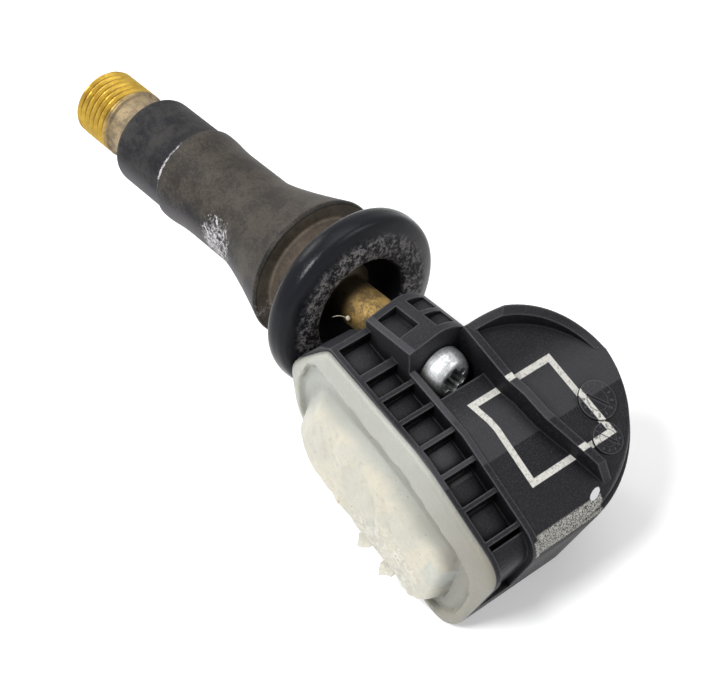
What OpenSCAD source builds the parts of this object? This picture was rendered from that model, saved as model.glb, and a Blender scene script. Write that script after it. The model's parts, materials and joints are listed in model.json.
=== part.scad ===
// Snap-in tyre pressure sensor, in millimetres.
// A rubber valve with a brass stem carries a moulded electronics housing,
// which is screwed to the inner end of the stem.
// The valve axis is X and its threaded tip points to -X. The origin is the
// centre of the groove that grips the wheel rim, and +Z is the side of the
// housing that carries its marking.
// The housing has a frame of its own, the body frame: it is turned about Y
// by valve_angle, and its X runs along the housing.

/* [Valve thread and stem] */
// Major diameter of the valve thread
thread_d = 7.75; // [7.5:0.05:8]
// Length of the threaded end
thread_len = 5.9; // [4.8:0.1:6.6]
// Length of the plain neck between the thread and the rubber
plain_neck_len = 3.3; // [2.6:0.1:4]
// Diameter of the plain neck
plain_neck_d = 6.95; // [6.9:0.05:7.4]
// Diameter of the stem inside the rubber
stem_core_d = 6.6; // [6.2:0.1:6.8]
// Diameter of the stem between the rubber and the housing
stem_base_d = 4.4; // [4.2:0.1:4.6]
// Diameter of the air passage along the stem
air_bore_d = 2.4; // [2.1:0.1:2.6]
// Diameter of the side hole that lets the air into the tyre
side_hole_d = 1.6; // [1.2:0.1:2]

/* [Rubber valve body] */
// Width of the groove that grips the rim
groove_w = 3.6; // [3:0.1:4.2]
// Diameter at the bottom of the groove
groove_d = 11.8; // [11.3:0.1:12.3]
// Diameter of the collar outside the rim
collar_d = 15.3; // [14.5:0.1:16.5]
// Diameter of the flange inside the rim
flange_d = 19.5; // [19:0.1:20.2]
// Thickness of the flange
flange_t = 3.3; // [3.1:0.1:3.8]
// Outer diameter of the raised ring on the flange's inner side
seat_ring_d = 14.8; // [13.6:0.1:15.6]
// Diameter of the hollow round the stem inside that ring
hollow_d = 10.4; // [9.6:0.1:11]
// Diameter of the long straight neck
neck_d = 10.1; // [9.8:0.1:10.6]
// Length of the flare from the collar to the neck
flare_len = 9.3; // [8:0.1:10.5]
// Length of the straight neck
neck_len = 10.6; // [9:0.1:11.5]
// Height of the bulge at the end of the neck
bulge_h = 0.27; // [0.1:0.01:0.4]
// Length of the smooth sleeve that a cap covers
sleeve_len = 7.9; // [7:0.1:9]
// Diameter of that sleeve
sleeve_d = 10; // [9.7:0.1:10.4]

/* [Housing] */
// Angle between the valve axis and the housing
valve_angle = 24.6; // [23:0.1:26]
// Distance from the rim groove to the point where the axes cross
seat_to_body = 10.6; // [10.2:0.1:11.4]
// Distance of the housing's far end from that point
body_end = 25; // [24.5:0.05:26.5]
// Distance of the potting face from the valve axis
rim_y = 8.15; // [8:0.05:8.6]
// Radius of the round back towards the far end
back_r = 12.15; // [11.9:0.05:12.5]
// Radius of the round back towards the valve
front_r = 12.9; // [12.6:0.05:13.4]
// Offset of both centres from the valve axis
back_y = 2.7; // [2.4:0.1:3.4]
// Distance of the round back's valve end from the crossing point
pocket_x = 3.95; // [3.7:0.05:4.3]
// Rounding of the back's upper edge
shoulder_r = 1.3; // [0.8:0.1:1.6]
// Height of the bend in the marked face above the crossing point
bend_z = 4.4; // [4.2:0.1:5]
// Position of that bend along the housing
bend_x = 12.4; // [11.5:0.1:13.5]
// Slope of the marked face on each side of the bend
face_slope = 7; // [5:0.5:8]
// Depth of the bottom below the crossing point, at the far end
bottom_z = 12.2; // [12:0.1:13]
// Rounding of the far end's upper corner
end_round = 3; // [2.6:0.1:3.2]
// Rounding of the far end's lower corner
foot_round = 4.2; // [3:0.1:4.6]
// Thickness of the housing's outer walls
wall_t = 1.3; // [1.1:0.05:1.5]
// Thickness of the lip around the potting
lip_t = 0.6; // [0.5:0.05:0.8]

/* [Ladder of ribs] */
// Width of the ladder between the lip and the ridge
ladder_w = 3.9; // [3.5:0.1:4.1]
// Depth of the cells
cell_depth = 1.5; // [1:0.1:1.8]
// Thickness of the thin ribs
rib_t = 0.5; // [0.4:0.05:0.7]
// Thickness of the rib next to the valve
first_rib_t = 0.85; // [0.7:0.05:1.1]
// Number of ribs
rib_count = 7; // [6:1:7]
// Distance from the first rib to the second
rib_pitch = 2.65; // [2.4:0.05:2.7]
// Growth of that distance from rib to rib
rib_growth = 0.2; // [0.1:0.02:0.24]
// Thickness of the ridge beside the ladder
ridge_t = 0.7; // [0.5:0.05:0.9]
// Height of the ridge above the marked face
ridge_h = 0.35; // [0.2:0.05:0.6]

/* [Marked face] */
// Thickness of the curved spine
spine_t = 0.9; // [0.7:0.05:1.2]
// Height of the spine at the valve end
spine_h = 2.8; // [2.2:0.1:3.2]
// Height of the spine at the far end
spine_end_h = 1.8; // [1.2:0.1:2.2]
// Thickness of the raised back wall
back_wall_t = 0.9; // [0.7:0.05:1.2]
// Height of the raised back wall at the valve end
back_wall_h = 3; // [2.6:0.1:3.4]
// Distance over which the back wall rises to that height from the spine
back_wall_rise = 5; // [4:0.2:6]
// Length over which the back wall runs out into the face
back_wall_run = 8.5; // [7.5:0.1:9.5]
// Diameter of the first date disc
disc_a_d = 4; // [3:0.1:4.4]
// Diameter of the second date disc
disc_b_d = 3.2; // [2.6:0.1:3.6]
// Height of the date discs
disc_h = 0.3; // [0.2:0.05:0.5]

/* [Valve mount and screw] */
// Radius of the boss round the stem's socket
boss_r = 4.55; // [4.3:0.05:4.8]
// Length of the boss along the valve axis
boss_len = 6.2; // [5.8:0.1:6.8]
// Depth of the stem in its socket
socket_depth = 4.2; // [3.6:0.1:4.4]
// Depth of the two windows in the side of the boss
window_depth = 1.1; // [0.6:0.1:1.4]
// Diameter of the screw's shank
screw_d = 2.9; // [2.7:0.1:3.1]
// Length of the shank under the head
screw_len = 7; // [6:0.1:7.6]
// Diameter of the screw's head
screw_head_d = 5; // [4.6:0.1:5.2]
// Height of the screw's head
screw_head_h = 2.2; // [1.8:0.1:2.4]
// Width of the star recess across its points
recess_d = 2.9; // [2.5:0.1:3.1]
// Depth of the star recess
recess_depth = 1.3; // [0.9:0.1:1.5]

/* [Potting] */
// Thickness of the potting that overlaps the lip
potting_skin_t = 0.6; // [0.4:0.05:0.9]
// Height of the potting's mound
mound_h = 2.6; // [1.8:0.1:3.2]
// Depth of the potting in the mouth of the housing
potting_depth = 3.1; // [2.6:0.1:3.2]

/* [Electronics] */
// Room along the housing that the coin cell leaves between its walls
cell_room = 2.45; // [2.2:0.05:3.4]
// Thickness of the coin cell
cell_h = 3.2; // [2.4:0.1:3.3]
// Width of the cell's two metal tabs
tab_w = 3; // [2.4:0.1:3.4]
// Width of the leg that each tab has up to the board
tab_leg_w = 1.8; // [1.2:0.1:2]
// Thickness of the circuit board
board_t = 0.8; // [0.6:0.1:1]
// Thickness of the antenna's strip
antenna_t = 0.4; // [0.3:0.05:0.5]
// Width of the antenna's strip
antenna_w = 1.2; // [0.8:0.1:1.4]
// Length of the sensor chip, across the housing
chip_l = 6; // [5:0.1:6.4]
// Width of the sensor chip, along the housing
chip_w = 4; // [3.4:0.1:4.2]
// Height of the sensor chip
chip_h = 2; // [1.6:0.1:2.4]
// Diameter of the pressure inlet
inlet_d = 1.2; // [0.8:0.1:1.6]

/* [Valve core] */
// Diameter of the threaded plug
plug_d = 5.2; // [5:0.1:5.4]
// Length of the threaded plug
plug_len = 3.8; // [3.4:0.1:4.2]
// Depth of the plug below the valve's tip
plug_depth = 1.8; // [1.4:0.1:2.2]
// Length of the conical seal ring
seal_ring_len = 1.6; // [1.3:0.1:1.8]
// Diameter of the barrel below the ring
barrel_d = 3.5; // [3.4:0.05:3.6]
// Length of the barrel below the ring
barrel_len = 7; // [6:0.1:8]
// Height of the cup that closes the barrel
cup_h = 1.6; // [1.3:0.1:1.8]
// Travel of the sprung pin
pin_travel = 1.2; // [0.8:0.1:1.4]
// Diameter of the pin
pin_d = 1.1; // [1:0.05:1.2]
// Wire diameter of the core's spring
spring_wire_d = 0.26; // [0.22:0.01:0.3]
// Turns of the core's spring
spring_turns = 7; // [5:1:8]

/* [Hidden] */
$fn = 64;

BLACK = "#26272a";
RUBBER = "#3a3733";
BRASS = "#b5892f";
ZINC = "#b9bcbd";
SILICONE = "#dad9d0";
SEAL = "#1d1d1f";
BOARD = "#1f5a38";
CELL = "#a9acae";
CHIP = "#202225";
COPPER = "#a8652f";

cut = 0.01;      // how far a cutter reaches past the face that it opens
far = 60;        // size of a cutter that only has to be large enough
ease = 0.3;      // running clearance between pieces that must not touch

// Stations along the valve, from the rim groove towards the tip
collar_s = groove_w / 2;
neck_s = collar_s + flare_len;
step_s = neck_s + neck_len;
front_s = step_s + sleeve_len;
thread_s = front_s + plain_neck_len;
tip_s = thread_s + thread_len;
flange_s = -groove_w / 2;
flange_end_s = flange_s - flange_t;
hollow_s = flange_s - 0.6;
seat_ring_s = flange_end_s - 0.4;
boss_front_s = 0.4 - seat_to_body;
boss_back_s = boss_front_s - boss_len;
stem_end_s = boss_front_s - socket_depth;
screw_tip_s = boss_back_s + screw_len;
head_end_s = boss_back_s - screw_head_h;
side_hole_s = (flange_end_s + boss_front_s) / 2;

// Places in the body frame
mouth_y = -rim_y;
ladder_y0 = mouth_y + lip_t;
ladder_y1 = ladder_y0 + ladder_w;
ridge_y1 = ladder_y1 + ridge_t;
back_x = body_end - back_r;
front_x = pocket_x + front_r;
rib_x0 = 2.7;
bottom_rise = 1.6;
relief_r = boss_r + 0.45;
roof_z = -3.5;
floor_z = -9.4;
cavity_x0 = -0.6;
mouth_drop = cell_depth + 0.6;
inner_y = mouth_y + potting_depth;
screw_room = 0.15;
spine_y = screw_head_d / 2 + screw_room + spine_t / 2;
side_y = spine_y;

// Places of the electronics in the body frame
board_z = roof_z - 0.6 - board_t;
cell_gap = 0.25;
cell_d = body_end - pocket_x - 2 * wall_t - cell_room;
cell_x = pocket_x + wall_t + cell_gap + cell_d / 2;
cell_y = inner_y + 0.3 + cell_d / 2;
tab_t = 0.2;
cell_z = floor_z + 0.1 + tab_t;
cell_top_z = cell_z + cell_h;
chip_x = (cavity_x0 + cell_x - cell_d / 2) / 2;
chip_y = (inner_y + side_y - wall_t) / 2;
coil_x = body_end - wall_t - 1.1;

// Stations of the valve core
plug_top_s = tip_s - plug_depth;
plug_end_s = plug_top_s - plug_len;
ring_end_s = plug_end_s - seal_ring_len;
barrel_end_s = ring_end_s - barrel_len;
pin_top_s = tip_s - 0.5;
collar_top_s = ring_end_s - 0.6;
cup_seal_h = 0.5;
cup_s = barrel_end_s - cup_seal_h;
core_room_s = cup_s - cup_h - pin_travel - 0.6;
plug_r = plug_d / 2;
barrel_r = barrel_d / 2;
barrel_bore_r = barrel_r * 0.69;
core_bore_r = barrel_r + 0.3;
cup_r = barrel_r - 0.15;
cup_seal_r = cup_r - 0.2;
pin_hole_r = pin_d / 2 + 0.15;
pin_collar_r = barrel_bore_r - 0.15;

// Height of the marked face at a place along the housing
function face_z(x) = bend_z - tan(face_slope) * abs(x - bend_x);
// Height of the face behind the spine, which has no bend
function rear_z(x) = bend_z - tan(face_slope) * (x - bend_x);
// Height of the bottom at a place along the housing
function bottom_at(x) = -bottom_z + bottom_rise * (body_end - x) / body_end;
// Place of a rib along the housing
function rib_x(i) = rib_x0 + rib_pitch * i + rib_growth * i * (i - 1) / 2;
// Points on an arc, from angle a to angle b
function arc(cx, cy, r, a, b, n = 12) =
    [for (i = [0:n]) let (t = a + (b - a) * i / n) [cx + r * cos(t), cy + r * sin(t)]];

// The frame of the valve: +Z runs to the tip and +X is up
module on_valve() rotate([0, -90, 0]) children();
// The frame of the housing
module on_body() translate([seat_to_body, 0, 0]) rotate([0, valve_angle, 0]) children();
// A side outline (x, z) of the housing, swept from y0 to y1
module sweep_y(y0, y1) translate([0, y1, 0]) rotate([90, 0, 0]) linear_extrude(y1 - y0) children();
// A plan outline (x, y) of the housing, swept from z0 to z1
module sweep_z(z0, z1) translate([0, 0, z0]) linear_extrude(z1 - z0) children();
// A ring about the valve axis, from station a to station b
module ring(r_out, r_in, a, b) translate([0, 0, a]) difference() {
    cylinder(r = r_out, h = b - a);
    translate([0, 0, -cut]) cylinder(r = r_in, h = b - a + 2 * cut);
}

// Outline of the housing seen on its potting face, moved in by inset
module side_outline(inset = 0, drop = 0) {
    x1 = body_end - end_round;
    polygon(concat(
        [[1.5 + inset, bottom_at(1.5) + inset], [-1.3 + inset, bottom_at(0) + 1.4 + inset]],
        [[-4.3 + inset, -4.6], [-2.5 + inset, 1.3 - drop - inset]],
        [[-1.5 + inset, face_z(-1.5) - drop - inset], [bend_x, bend_z - drop - inset]],
        arc(x1, face_z(x1) - drop - end_round, end_round - inset, 90 - face_slope, 0, 8),
        arc(body_end - foot_round, foot_round - bottom_z, foot_round - inset, 0, -90, 8)
    ));
}

// Outline of the housing seen on its marked face, moved in by inset: two
// discs cross at the round back, and straight sides run on to the potting
module plan_outline(inset = 0) {
    intersection() {
        translate([front_x, back_y]) circle(r = front_r - inset, $fn = 128);
        translate([back_x, back_y]) circle(r = back_r - inset, $fn = 128);
        translate([0, back_y]) square([far, far]);
    }
    translate([pocket_x + inset, mouth_y]) square([body_end - pocket_x - 2 * inset, back_y - mouth_y]);
    translate([-8, mouth_y]) square([8 + pocket_x + inset + cut, side_y - inset - mouth_y]);
}

// What is cut off to round the upper edge of the back. It starts with nothing
// beside the centre, where the raised wall ends, and is full at the far end.
module shoulder_cut() {
    lift = shoulder_r * 0.9;
    translate([back_x, back_y, face_z(back_x) + lift])
        rotate([0, face_slope + atan(lift / back_r), 0]) intersection() {
            rotate_extrude($fn = 128) polygon(concat(
                arc(back_r - shoulder_r, -shoulder_r, shoulder_r, 90, 0, 6),
                [[back_r + 2, -shoulder_r], [back_r + 2, 2], [back_r - shoulder_r, 2]]
            ));
            translate([0, 0, -shoulder_r]) cube(far);
        }
}

module tub_blank() difference() {
    intersection() {
        union() {
            sweep_y(mouth_y, far) side_outline();
            // Behind the spine the face runs on straight towards the valve
            sweep_y(spine_y, far) polygon([[pocket_x, 0], [pocket_x, rear_z(pocket_x)],
                [bend_x, bend_z], [bend_x, 0]]);
        }
        sweep_z(-far, far) plan_outline();
    }
    shoulder_cut();
}

// The boss round the stem's socket: round at the back, with a shoulder
// towards the ladder. Its outline is given as height and y.
module boss() {
    translate([0, 0, boss_back_s]) linear_extrude(boss_len) polygon(concat(
        arc(0, 0, boss_r, 0, 115, 20),
        [[-2.6, boss_r * 0.9], [-2.6, ladder_y1], [boss_r * 0.86, ladder_y1]]
    ));
}

// The raised wall along the round back, which runs out into the face
module back_wall() {
    top = rear_z(pocket_x) + back_wall_h;
    run_x = pocket_x + back_wall_run;
    intersection() {
        sweep_z(0, far) difference() {
            plan_outline();
            plan_outline(back_wall_t);
            translate([-far, -far]) square([far + pocket_x - cut, 2 * far]);
            translate([-far, -far]) square([2 * far, far + 1.6]);
        }
        sweep_y(0, far) polygon([[pocket_x - 1, 1], [pocket_x - 1, top],
            [run_x, rear_z(run_x) - 0.05], [run_x, 1]]);
        translate([0, spine_y, 0]) rotate([90, 0, 90]) linear_extrude(far)
            polygon([[-far, 0], [-far, face_z(pocket_x) + spine_h], [0, face_z(pocket_x) + spine_h],
                [back_wall_rise, top], [far, top], [far, 0]]);
    }
}

// The curved spine between the marked face and the pocket behind it
module spine() {
    path = [[pocket_x + 0.4, spine_y], [10.4, spine_y], [15, spine_y + 0.9],
        [19.5, spine_y + 2.5], [back_x + 10.4, spine_y + 3.7]];
    intersection() {
        sweep_z(0, far) for (i = [0:len(path) - 2]) {
            a = path[i];
            b = path[i + 1];
            turn = atan2(b[1] - a[1], b[0] - a[0]);
            translate(a) rotate(turn) translate([0, -spine_t / 2])
                square([norm(b - a), spine_t]);
            translate(b) circle(d = spine_t, $fn = 24);
        }
        sweep_y(-far, far) polygon([[0, 1], [0, face_z(pocket_x) + spine_h],
            [pocket_x, face_z(pocket_x) + spine_h],
            [bend_x, bend_z + (spine_h + spine_end_h) / 2],
            [body_end - 3.6, face_z(body_end - 3.6) + spine_end_h],
            [body_end - 1.6, face_z(body_end) - 0.4], [body_end - 1.6, 0]]);
        sweep_z(-far, far) plan_outline();
    }
}

// The ridge between the ladder and the marked face
module ridge() {
    x1 = body_end - end_round;
    sweep_y(ladder_y1, ridge_y1) polygon(concat(
        [[-1.4, 0], [-1.4, face_z(-1.4)], [0.5, face_z(0.5) + ridge_h]],
        [[bend_x, bend_z + ridge_h]],
        arc(x1, face_z(x1) - end_round + ridge_h, end_round, 90 - face_slope, 0, 8),
        [[body_end, -6], [body_end - 1, -6]]
    ));
}

// A cut into the marked face between two places, with its floor along the face
module face_cut(x0, x1, y0, y1, depth) {
    sweep_y(y0, y1) polygon([[x0, face_z(x0) - depth], [x0, far], [x1, far],
        [x1, face_z(x1) - depth]]);
}

module ladder_cells() {
    face_cut(-0.9, rib_x(0) - first_rib_t / 2, ladder_y0, ladder_y1, cell_depth);
    for (i = [0:rib_count - 2]) {
        half = i == 0 ? first_rib_t / 2 : rib_t / 2;
        face_cut(rib_x(i) + half, rib_x(i + 1) - rib_t / 2, ladder_y0, ladder_y1, cell_depth);
    }
    // The last cell runs round the corner and down the far end
    last = rib_x(rib_count - 1) + rib_t / 2;
    x1 = body_end - end_round;
    sweep_y(ladder_y0, ladder_y1) difference() {
        translate([last, -5.5]) square([far, far]);
        polygon(concat([[0, -far], [0, face_z(last) - cell_depth],
            [last, face_z(last) - cell_depth]],
            arc(x1 - 0.7, face_z(x1) - end_round - 0.2, end_round, 70, 0, 8),
            [[body_end - 0.7, -far]]));
    }
}

// The two small windows and the shallow panel in the top of the boss
module boss_pockets() {
    for (s = [boss_back_s + 0.9, boss_back_s + 3.4])
        translate([boss_r - window_depth, 0.5, s]) cube([far, 2.1, 1.9]);
    translate([boss_r * 0.86 - 0.5, ladder_y1 + ridge_t, boss_back_s + 2.2])
        cube([far, 2.3, 3.2]);
}

module cavity() {
    sweep_z(floor_z, roof_z) intersection() {
        plan_outline(wall_t);
        translate([cavity_x0, mouth_y - 1]) square(far);
    }
}

module date_disc(x, y, d) {
    translate([x, y, rear_z(x)]) rotate([0, face_slope, 0]) difference() {
        translate([0, 0, -0.2]) cylinder(d = d, h = disc_h + 0.2, $fn = 48);
        translate([0, 0, disc_h - 0.12]) rotate(35) translate([-d * 0.3, -0.1, 0])
            cube([d * 0.6, 0.2, 1]);
    }
}

module housing() color(BLACK) difference() {
    union() {
        on_body() {
            tub_blank();
            back_wall();
            spine();
            ridge();
            date_disc(back_x + 3.3, back_y + 7.9, disc_a_d);
            date_disc(back_x + 6.8, back_y + 6.5, disc_b_d);
        }
        on_valve() boss();
    }
    on_body() {
        cavity();
        sweep_y(mouth_y - cut, inner_y) side_outline(wall_t, mouth_drop);
        ladder_cells();
        translate([chip_x, chip_y, -far]) cylinder(d = inlet_d, h = far + floor_z + cut);
    }
    on_valve() {
        boss_pockets();
        // Room for the stem, the rubber flange and the screw
        translate([0, 0, boss_front_s]) cylinder(r = relief_r, h = far);
        translate([0, 0, flange_end_s - ease]) cylinder(r = far, h = far);
        translate([0, 0, seat_ring_s - ease]) cylinder(r = seat_ring_d / 2 + ease, h = far);
        translate([0, 0, stem_end_s]) cylinder(d = stem_base_d, h = far);
        translate([0, 0, boss_back_s - cut]) cylinder(d = screw_d + 0.3, h = far);
        translate([-screw_head_d / 2 - 0.5, -screw_head_d / 2 - screw_room, head_end_s - 1.1])
            cube([far, screw_head_d + 2 * screw_room, screw_head_h + 1.1]);
    }
}

// The mound that the potting leaves over the electronics, in three steps
module mound() {
    middle = [11.5, -5];
    steps = [[0, 0.45, 1], [0.45, 0.8, 0.95], [0.8, 1, 0.86]];
    for (step = steps)
        translate([middle[0], mouth_y - potting_skin_t - step[0] * mound_h, middle[1]])
            rotate([90, 0, 0]) linear_extrude((step[1] - step[0]) * mound_h)
            scale([step[2] / 2 + 0.5, step[2]]) translate(-middle) polygon([
                [0.9, -8.4], [2.2, -10], [20.6, -10.8], [22.6, -8.6], [22.6, -2.2],
                [18.6, 0.2], [12, 0.5], [1.6, -1.4], [0.6, -3]
            ]);
}

module potting() color(SILICONE) difference() {
    on_body() {
        sweep_y(mouth_y, inner_y) side_outline(wall_t, mouth_drop);
        sweep_y(mouth_y - potting_skin_t, mouth_y) side_outline(0.35);
        mound();
    }
    on_valve() {
        translate([0, 0, flange_end_s - ease]) cylinder(r = far, h = far);
        translate([0, 0, seat_ring_s - ease]) cylinder(r = seat_ring_d / 2 + ease, h = far);
    }
}

// Outline of the rubber as radius and station
function flare_points(n = 8) = [for (i = [0:n]) let (t = i / n)
    [neck_d / 2 + (collar_d - neck_d) / 2 * pow(t, 1.25) * 0.97,
        neck_s - (flare_len - 0.6) * t]];

module valve_rubber() color(RUBBER) on_valve() rotate_extrude($fn = 96) polygon(concat(
    [[stem_core_d / 2, hollow_s], [stem_core_d / 2, front_s]],
    [[sleeve_d / 2 - 0.55, front_s], [sleeve_d / 2 - 0.15, front_s - 0.4]],
    [[sleeve_d / 2, front_s - 1], [sleeve_d / 2, step_s + 0.1]],
    [[neck_d / 2 + bulge_h, step_s - 0.25], [neck_d / 2 + bulge_h, step_s - 0.9]],
    [[neck_d / 2 + bulge_h / 2, step_s - 2.2], [neck_d / 2, step_s - 4]],
    flare_points(),
    [[collar_d / 2, collar_s + 0.4], [collar_d / 2 - 0.15, collar_s]],
    [[groove_d / 2, collar_s], [groove_d / 2, flange_s]],
    [[flange_d / 2 - 1.9, flange_s], [flange_d / 2 - 0.8, flange_s - 0.35]],
    [[flange_d / 2 - 0.25, flange_s - 0.85], [flange_d / 2, flange_s - 1.6]],
    [[flange_d / 2 - 0.05, flange_end_s + 0.9], [flange_d / 2 - 0.4, flange_end_s + 0.3]],
    [[flange_d / 2 - 1, flange_end_s], [seat_ring_d / 2 + 0.4, flange_end_s + 0.15]],
    [[seat_ring_d / 2, seat_ring_s], [hollow_d / 2 + 0.2, seat_ring_s]],
    [[hollow_d / 2, seat_ring_s + 0.3], [hollow_d / 2 - 0.4, hollow_s - 0.7]],
    [[hollow_d / 2 - 1.2, hollow_s]]
));

module valve_stem() color(BRASS) on_valve() difference() {
    rotate_extrude() polygon([
        [0, stem_end_s], [stem_base_d / 2, stem_end_s], [stem_base_d / 2, hollow_s - 0.5],
        [stem_core_d / 2, hollow_s], [stem_core_d / 2, front_s], [plain_neck_d / 2, front_s],
        [plain_neck_d / 2, thread_s - 0.15], [thread_d / 2, thread_s],
        [thread_d / 2, tip_s - 0.5], [thread_d / 2 - 0.5, tip_s], [0, tip_s]
    ]);
    translate([0, 0, plug_end_s]) cylinder(r = plug_r, h = far);
    translate([0, 0, ring_end_s]) cylinder(r1 = core_bore_r, r2 = plug_r, h = plug_end_s - ring_end_s);
    translate([0, 0, core_room_s]) cylinder(r = core_bore_r, h = ring_end_s - core_room_s + cut);
    translate([0, 0, screw_tip_s]) cylinder(d = air_bore_d, h = core_room_s - screw_tip_s + cut);
    translate([0, 0, stem_end_s - cut]) cylinder(d = screw_d, h = screw_tip_s - stem_end_s + 2 * cut);
    translate([0, 0, side_hole_s]) rotate([0, -90, 0]) cylinder(d = side_hole_d, h = far);
}

// A star recess: a round hole with six round lobes
module star(d) {
    circle(d = d * 0.74, $fn = 32);
    for (i = [0:5]) rotate(60 * i) translate([d * 0.36, 0]) circle(d = d * 0.28, $fn = 24);
}

module mount_screw() color(ZINC) on_valve() difference() {
    r = screw_head_d / 2;
    front_flat_r = recess_d / 2 + 0.1;
    rotate_extrude() polygon(concat(
        [[0, screw_tip_s], [screw_d / 2 - 0.4, screw_tip_s], [screw_d / 2, screw_tip_s - 0.4]],
        [[screw_d / 2, boss_back_s], [r - 0.1, boss_back_s], [r, boss_back_s - 0.15]],
        [for (i = [0:8]) let (t = 90 * i / 8) [front_flat_r + (r - front_flat_r) * cos(t),
            boss_back_s - 0.5 - (screw_head_h - 0.5) * sin(t)]],
        [[0, head_end_s]]
    ));
    translate([0, 0, head_end_s - cut]) linear_extrude(recess_depth) star(recess_d);
}

module core_plug() color(BRASS) on_valve() difference() {
    ring(plug_r, pin_hole_r, plug_end_s, plug_top_s);
    // Two flats for the valve key, which also let the air past
    for (side = [-1, 1])
        translate([side * (plug_r + 0.75) - plug_r / 2, -far / 2, plug_end_s + 2])
            cube([plug_r, far, far]);
    for (turn = [0, 180]) rotate(turn) translate([plug_r / 2, 0, plug_end_s - cut])
        cylinder(d = 0.7, h = far, $fn = 24);
}

module core_seal_ring() color("#c9bfa8") on_valve() difference() {
    translate([0, 0, ring_end_s]) cylinder(r1 = core_bore_r, r2 = plug_r, h = plug_end_s - ring_end_s);
    translate([0, 0, ring_end_s - cut]) cylinder(r = barrel_r, h = far);
}

module core_barrel() color(BRASS) on_valve() {
    ring(barrel_r, barrel_bore_r, barrel_end_s, plug_end_s - 0.6);
    ring(barrel_r, pin_hole_r, plug_end_s - 0.6, plug_end_s);
    ring(barrel_bore_r, pin_hole_r, barrel_end_s, barrel_end_s + 0.5);
}

module core_pin() color(BRASS) on_valve() rotate_extrude($fn = 32) polygon([
    [0, cup_s - cup_h + 0.2], [pin_d / 2, cup_s - cup_h + 0.2],
    [pin_d / 2, collar_top_s - 0.4], [pin_collar_r, collar_top_s - 0.4],
    [pin_collar_r, collar_top_s], [pin_d / 2, collar_top_s],
    [pin_d / 2, pin_top_s - 0.2], [pin_d / 2 - 0.2, pin_top_s], [0, pin_top_s]
]);

module core_cup() color(BRASS) on_valve() {
    ring(cup_r, pin_d / 2, cup_s - cup_h, cup_s - 0.2);
    ring(cup_r, cup_seal_r, cup_s - 0.2, cup_s + cup_seal_h - 0.2);
}

module core_cup_seal() color(SEAL) on_valve() ring(cup_seal_r, pin_d / 2, cup_s - 0.2, barrel_end_s);

// A round wire wound between two stations about the valve axis
module core_spring() {
    sides = 6;
    steps = spring_turns * 10;
    wire_r = spring_wire_d / 2;
    coil_r = barrel_bore_r - wire_r - 0.08;
    z0 = barrel_end_s + 0.5 + wire_r;
    z1 = collar_top_s - 0.4 - wire_r;
    points = [for (i = [0:steps]) for (k = [0:sides - 1])
        let (a = 360 * spring_turns * i / steps, t = 360 * k / sides, r = coil_r + wire_r * cos(t))
        [r * cos(a), r * sin(a), z0 + (z1 - z0) * i / steps + wire_r * sin(t)]];
    sheath = [for (i = [0:steps - 1]) for (k = [0:sides - 1])
        let (a = i * sides + k, b = i * sides + (k + 1) % sides)
        [a, b, b + sides, a + sides]];
    ends = [[for (k = [sides - 1:-1:0]) k], [for (k = [0:sides - 1]) steps * sides + k]];
    color(ZINC) on_valve() polyhedron(points, concat(sheath, ends), convexity = 8);
}

module board_outline(inset = 0) intersection() {
    plan_outline(wall_t + ease + inset);
    translate([cavity_x0 + ease, inner_y + ease]) square([far, far]);
}

module circuit_board() color(BOARD) on_body() difference() {
    sweep_z(board_z, board_z + board_t) board_outline();
    for (y = [cell_y - cell_d * 0.37, cell_y + cell_d * 0.37])
        translate([back_x + back_r * 0.52, y, board_z - 1]) cylinder(d = 1, h = 3, $fn = 24);
}

module coin_cell() color(CELL) on_body() translate([cell_x, cell_y, cell_z]) {
    cylinder(d = cell_d, h = cell_h - 0.5);
    translate([0, 0, cell_h - 0.5]) cylinder(d = cell_d - 1.6, h = 0.5);
}

// A strip along the cell with one leg up to the board
module tab(z, leg_x, side) color(ZINC) on_body() {
    leg_y = cell_y - tab_w / 2 + side * (tab_w - tab_leg_w) / 2;
    translate([cell_x - tab_w, cell_y - tab_w / 2, z])
        cube([leg_x - cell_x + tab_w, tab_w, tab_t]);
    translate([leg_x - tab_t, leg_y, z]) cube([tab_t, tab_leg_w, board_z - z]);
}

module tab_positive() tab(floor_z + 0.1, cell_x + cell_d / 2 + 2 * cell_gap, 1);

module tab_negative() tab(cell_top_z, cell_x + cell_d * 3 / 8, 0);

module sensor_chip() color(CHIP) on_body() difference() {
    translate([chip_x - chip_w / 2, chip_y - chip_l / 2, board_z - chip_h])
        cube([chip_w, chip_l, chip_h]);
    translate([chip_x, chip_y, board_z - chip_h - cut]) cylinder(d = inlet_d, h = 0.5);
}

module inlet_seal() color(SEAL) on_body() translate([chip_x, chip_y, floor_z]) difference() {
    cylinder(r = inlet_d / 2 + 0.9, h = board_z - chip_h - floor_z);
    translate([0, 0, -cut]) cylinder(d = inlet_d, h = far);
}

module lf_coil_core() color("#4a4a4d") on_body()
    translate([coil_x - 0.5, inner_y + 0.4, board_z - 1.4]) cube([1, 6, 1]);

module lf_coil_winding() color(COPPER) on_body() difference() {
    translate([coil_x - 0.9, inner_y + 0.9, board_z - 1.8]) cube([1.8, 5, 1.8]);
    translate([coil_x - 0.5, -far / 2, board_z - 1.4]) cube([1, far, 1]);
}

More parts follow.
